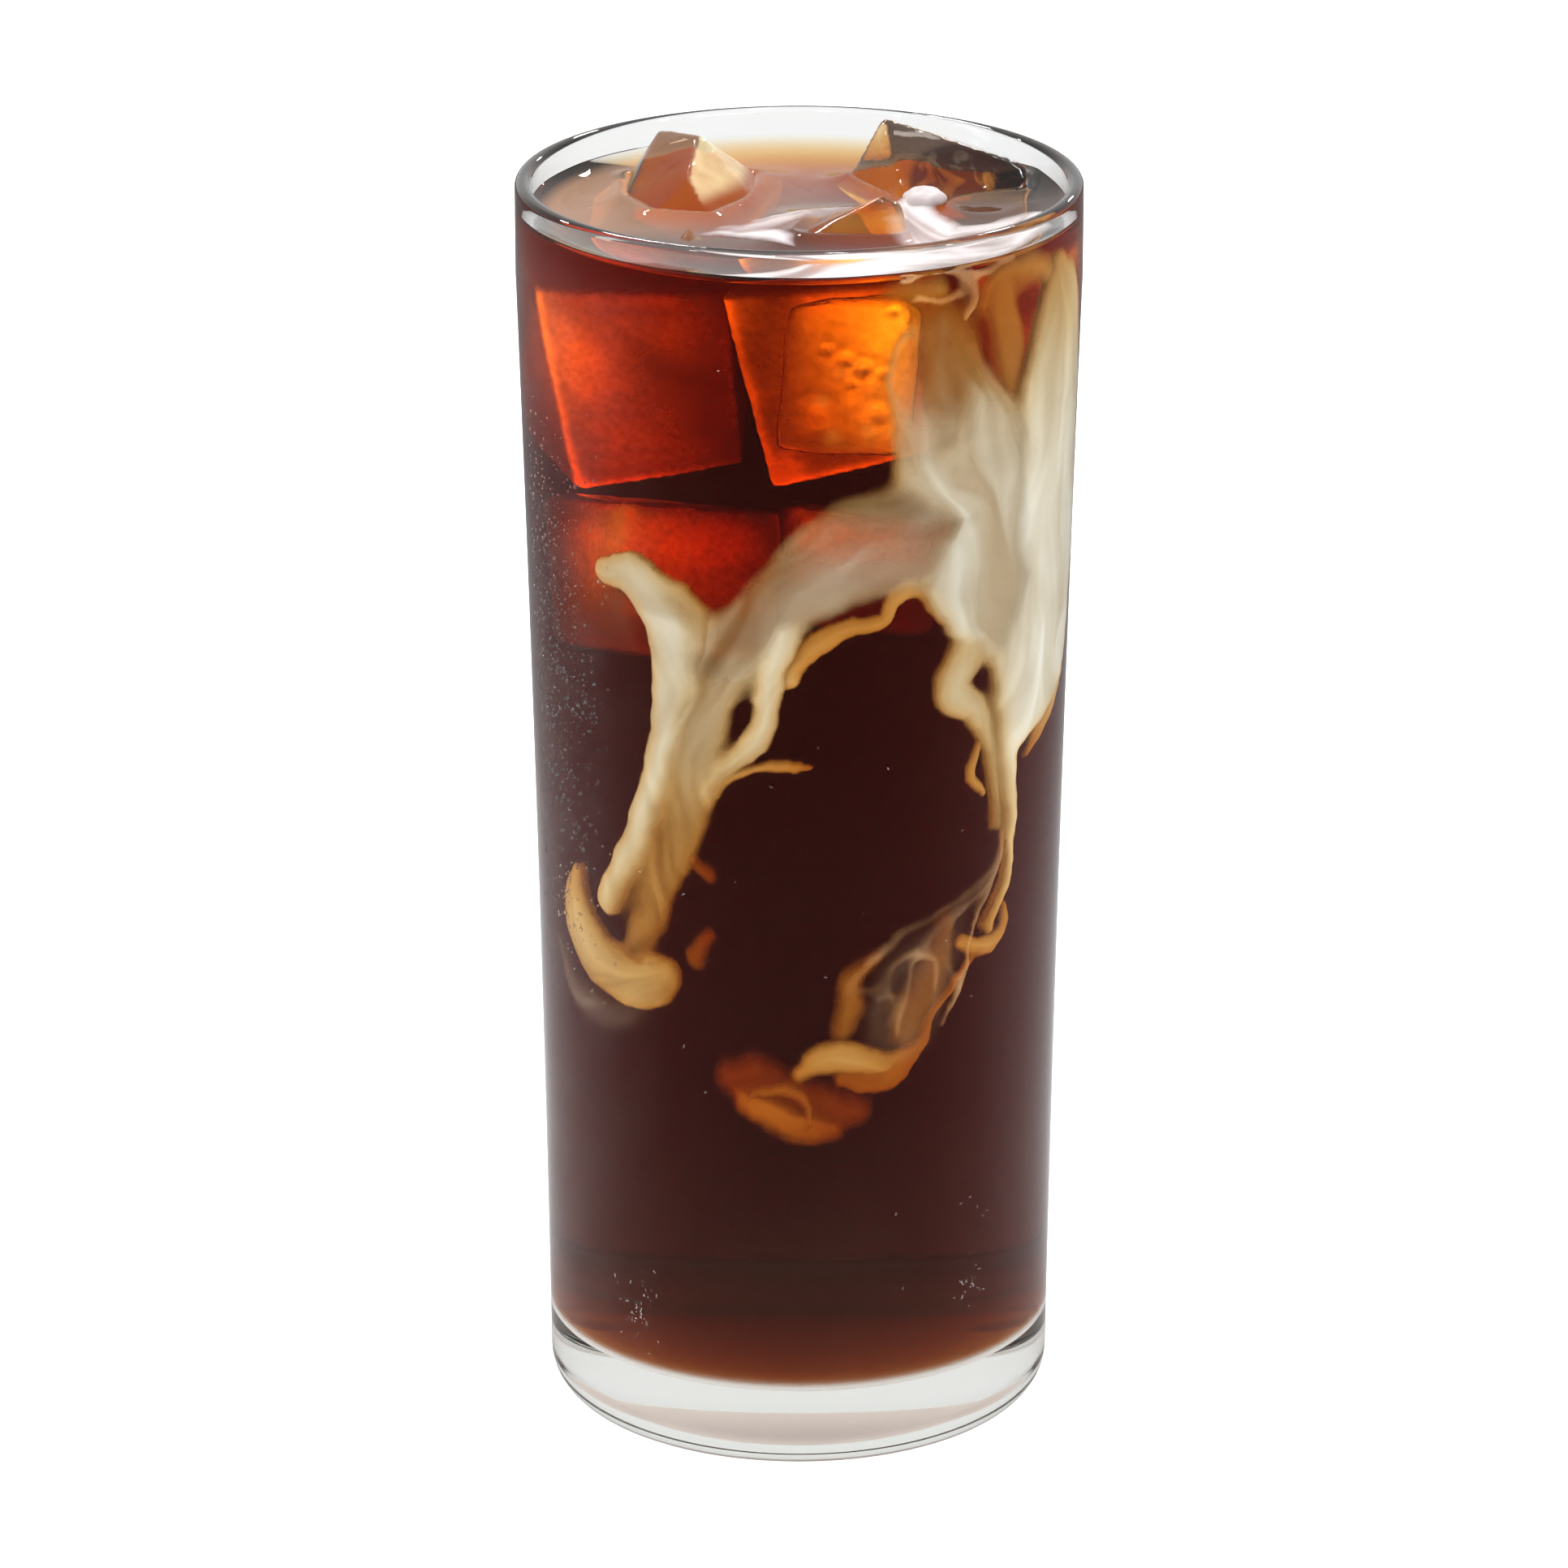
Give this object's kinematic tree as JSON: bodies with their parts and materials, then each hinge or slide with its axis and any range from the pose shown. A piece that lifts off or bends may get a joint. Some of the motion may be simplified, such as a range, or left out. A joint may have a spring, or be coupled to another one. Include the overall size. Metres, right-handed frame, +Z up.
{
  "type": "glass of iced coffee with milk",
  "caption": "Tall clear tumbler of cold brew coffee with ice cubes breaking the surface and swirls of milk sinking down the inside of the wall.",
  "frame": {"origin": "middle of the foot, on the surface that the glass stands on", "axes": "+Z up along the glass's axis, -Y to the front where the milk shows, +X to the right"},
  "size_m": [0.0656, 0.0656, 0.1527],
  "materials": {
    "glass": "clear, polished",
    "coffee": "wet, see-through dark amber at the edges",
    "ice": "wet, clear, tinted by the coffee behind it",
    "milk": "soft, cream coloured, cloudy"
  },
  "bodies": {
    "root": {"glass": "glass", "coffee": "coffee", "ice_left": "ice", "ice_mid": "ice", "ice_right": "ice", "milk_swirl": "milk"}
  },
  "joints": []
}
